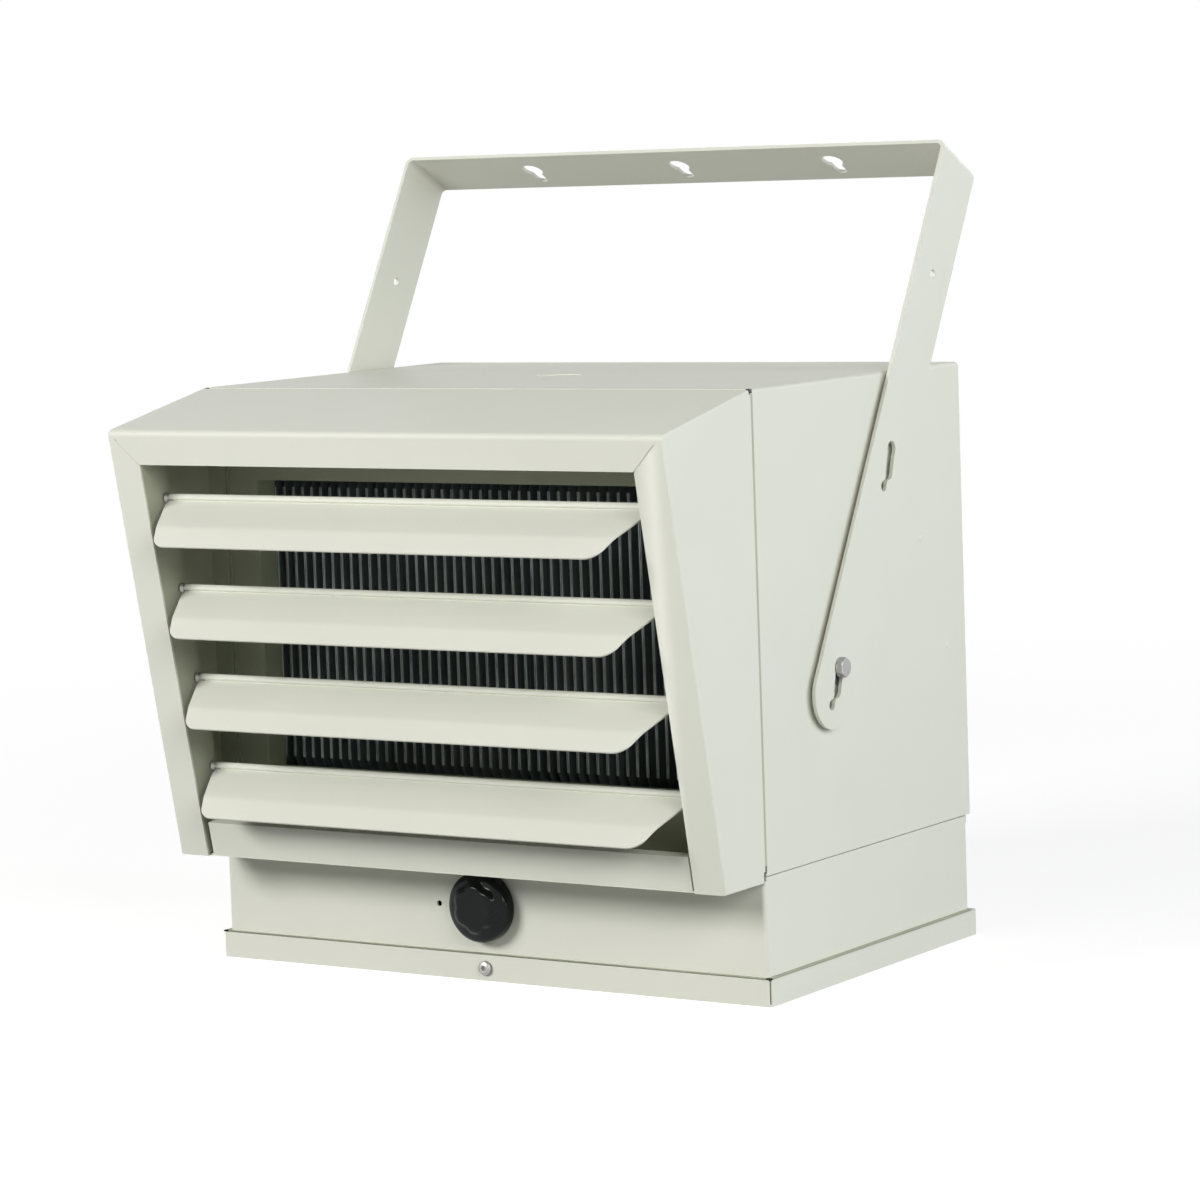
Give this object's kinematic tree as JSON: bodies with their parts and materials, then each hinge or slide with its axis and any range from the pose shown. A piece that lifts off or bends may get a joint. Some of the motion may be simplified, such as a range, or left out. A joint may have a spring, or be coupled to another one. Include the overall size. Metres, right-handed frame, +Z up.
{
  "type": "ceiling mounted fan heater",
  "caption": "Boxy electric fan heater with a sloping louvred hood, a thermostat knob in its base box and a U-shaped tilting yoke that bolts to a ceiling.",
  "frame": {"origin": "centre of the underside of the bottom cover", "axes": "+Z up, -Y the way the hood blows, +X to the right seen from the front"},
  "size_m": [0.3718, 0.3353, 0.4436],
  "materials": {
    "enamel": "ivory gloss powder coat",
    "inner_enamel": "the same paint, dulled, on the plate behind the louvers",
    "galvanized": "galvanized sheet",
    "zinc": "bright zinc plate",
    "black_fins": "satin black on thin steel fins",
    "fan_metal": "pressed aluminium",
    "motor_paint": "black semi-gloss",
    "knob_plastic": "glossy black",
    "moulding": "moulded black",
    "wire_black": "insulated wire",
    "wire_red": "insulated wire"
  },
  "bodies": {
    "cabinet": {"housing_wrap": "enamel", "lower_housing": "enamel", "bottom_cover": "enamel", "control_box_back": "enamel", "back_panel": "enamel", "hood_shell": "enamel", "hood_bottom_pan": "enamel", "baffle_plate": "inner_enamel", "control_shelf": "galvanized", "element_end_left": "galvanized", "element_end_right": "galvanized", "fan_shroud": "galvanized", "motor_bracket": "galvanized", "intake_guard": "zinc", "cover_screw": "zinc", "bracket_screw_left": "zinc", "bracket_screw_right": "zinc", "pivot_bolt_left": "zinc", "pivot_bolt_right": "zinc", "pivot_nut_left": "zinc", "pivot_nut_right": "zinc", "back_screw_1": "zinc", "back_screw_2": "zinc", "back_screw_3": "zinc", "back_screw_4": "zinc", "heating_element": "black_fins", "motor_body": "motor_paint", "limit_switch": "moulding", "thermostat_body": "moulding", "terminal_block": "moulding", "relay": "moulding", "shelf_grommet": "moulding", "entry_bushing": "moulding", "pivot_spacer_left": "moulding", "pivot_spacer_right": "moulding", "motor_lead": "wire_black", "thermostat_lead": "wire_red", "supply_lead": "wire_red"},
    "yoke": {"yoke": "enamel"},
    "fan": {"fan_wheel": "fan_metal", "fan_shaft": "zinc"},
    "knob": {"knob": "knob_plastic", "knob_shaft": "zinc"},
    "louver_1": {"louver_1": "enamel", "louver_pin_1_left": "zinc", "louver_pin_1_right": "zinc"},
    "louver_2": {"louver_2": "enamel", "louver_pin_2_left": "zinc", "louver_pin_2_right": "zinc"},
    "louver_3": {"louver_3": "enamel", "louver_pin_3_left": "zinc", "louver_pin_3_right": "zinc"},
    "louver_4": {"louver_4": "enamel", "louver_pin_4_left": "zinc", "louver_pin_4_right": "zinc"}
  },
  "joints": [
    {"name": "yoke_tilt", "type": "hinge", "parent": "cabinet", "child": "yoke", "pos_m": [0, -0.0365, 0.1685], "axis": [1, 0, 0], "range_deg": [-61, 29]},
    {"name": "louver_1_tilt", "type": "hinge", "parent": "cabinet", "child": "louver_1", "pos_m": [0, -0.17352, 0.26503], "axis": [1, 0, 0], "range_deg": [-36, 30]},
    {"name": "louver_2_tilt", "type": "hinge", "parent": "cabinet", "child": "louver_2", "pos_m": [0, -0.16356, 0.21463], "axis": [1, 0, 0], "range_deg": [-36, 30]},
    {"name": "louver_3_tilt", "type": "hinge", "parent": "cabinet", "child": "louver_3", "pos_m": [0, -0.1536, 0.16422], "axis": [1, 0, 0], "range_deg": [-36, 30]},
    {"name": "louver_4_tilt", "type": "hinge", "parent": "cabinet", "child": "louver_4", "pos_m": [0, -0.14364, 0.11381], "axis": [1, 0, 0], "range_deg": [-36, 30]},
    {"name": "fan_spin", "type": "hinge", "parent": "cabinet", "child": "fan", "pos_m": [0, -0.0145, 0.19175], "axis": [0, -1, 0], "continuous": true},
    {"name": "knob_turn", "type": "hinge", "parent": "cabinet", "child": "knob", "pos_m": [0, -0.1175, 0.041], "axis": [0, -1, 0], "range_deg": [-150, 150]}
  ]
}
